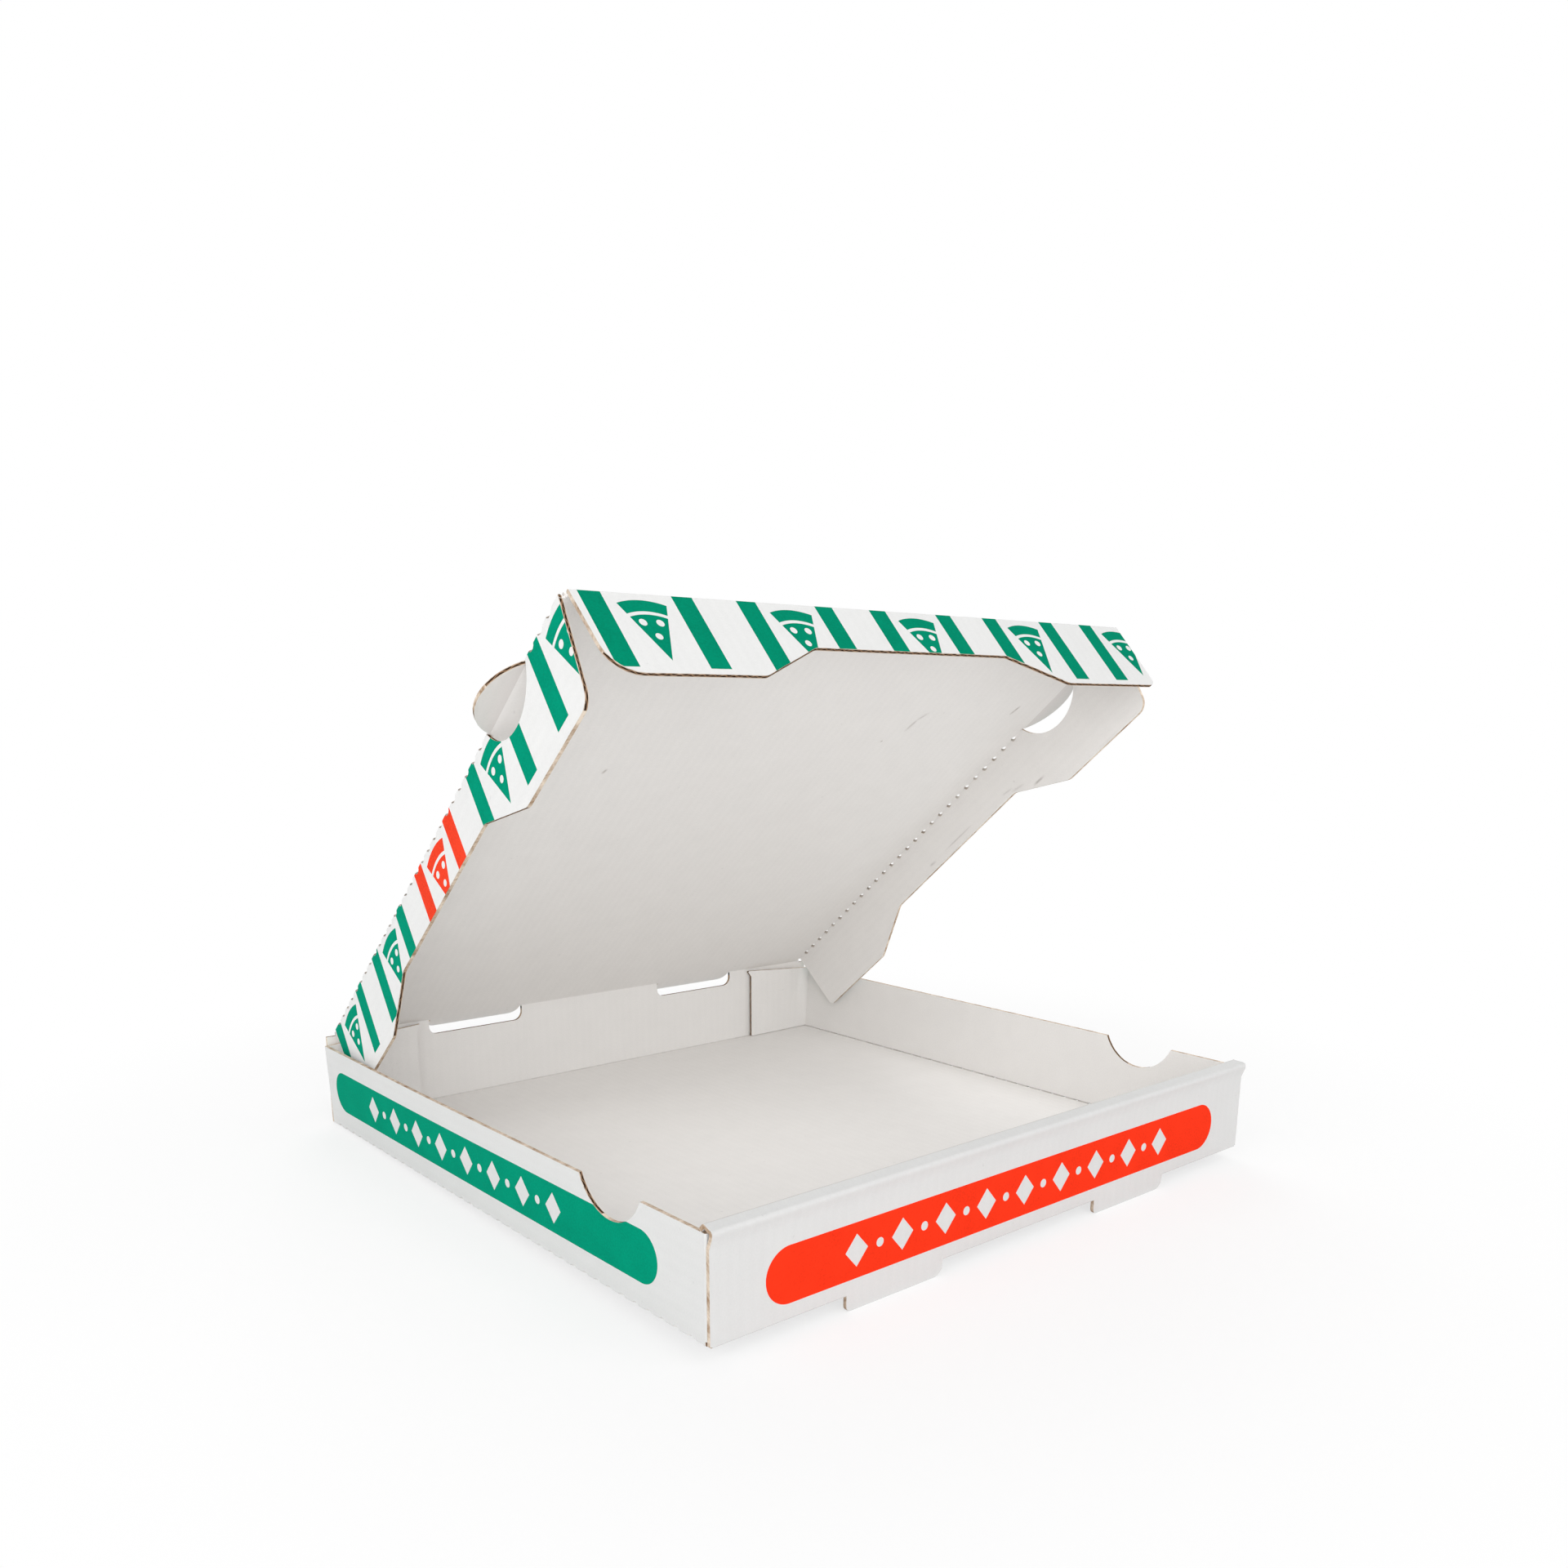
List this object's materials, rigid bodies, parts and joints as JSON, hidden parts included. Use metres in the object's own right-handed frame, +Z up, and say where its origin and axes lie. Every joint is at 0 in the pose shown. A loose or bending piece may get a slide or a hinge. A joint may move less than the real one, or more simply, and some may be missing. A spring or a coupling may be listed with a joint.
{
  "type": "pizza box",
  "caption": "White corrugated take-away pizza box folded from one sheet, lid standing open, with tuck flaps, thumb notches, slotted back wall and a rolled front wall.",
  "frame": {"origin": "centre of the tray's underside", "axes": "X to the right along the front wall, Y from the front wall to the back wall, Z up out of the tray"},
  "size_m": [0.314, 0.3062, 0.2348],
  "materials": {
    "board": "matte white lining, brown cut edges"
  },
  "bodies": {
    "tray": {"tray": "board"},
    "lid": {"lid": "board"},
    "front_flap": {"front_flap": "board"},
    "left_flap": {"left_flap": "board"},
    "right_flap": {"right_flap": "board"}
  },
  "joints": [
    {"name": "lid_hinge", "type": "hinge", "parent": "tray", "child": "lid", "pos_m": [0, 0.14925, 0.043], "axis": [-1, 0, 0], "range_deg": [-40, 140]},
    {"name": "front_flap_fold", "type": "hinge", "parent": "lid", "child": "front_flap", "pos_m": [0, -0.07175, 0.22844], "axis": [1, 0, 0], "range_deg": [-87, 11]},
    {"name": "left_flap_fold", "type": "hinge", "parent": "lid", "child": "left_flap", "pos_m": [-0.1455, 0.14925, 0.043], "axis": [0, -0.766, 0.6428], "range_deg": [0, 18]},
    {"name": "right_flap_fold", "type": "hinge", "parent": "lid", "child": "right_flap", "pos_m": [0.1455, 0.14925, 0.043], "axis": [0, 0.766, -0.6428], "range_deg": [0, 18]}
  ]
}
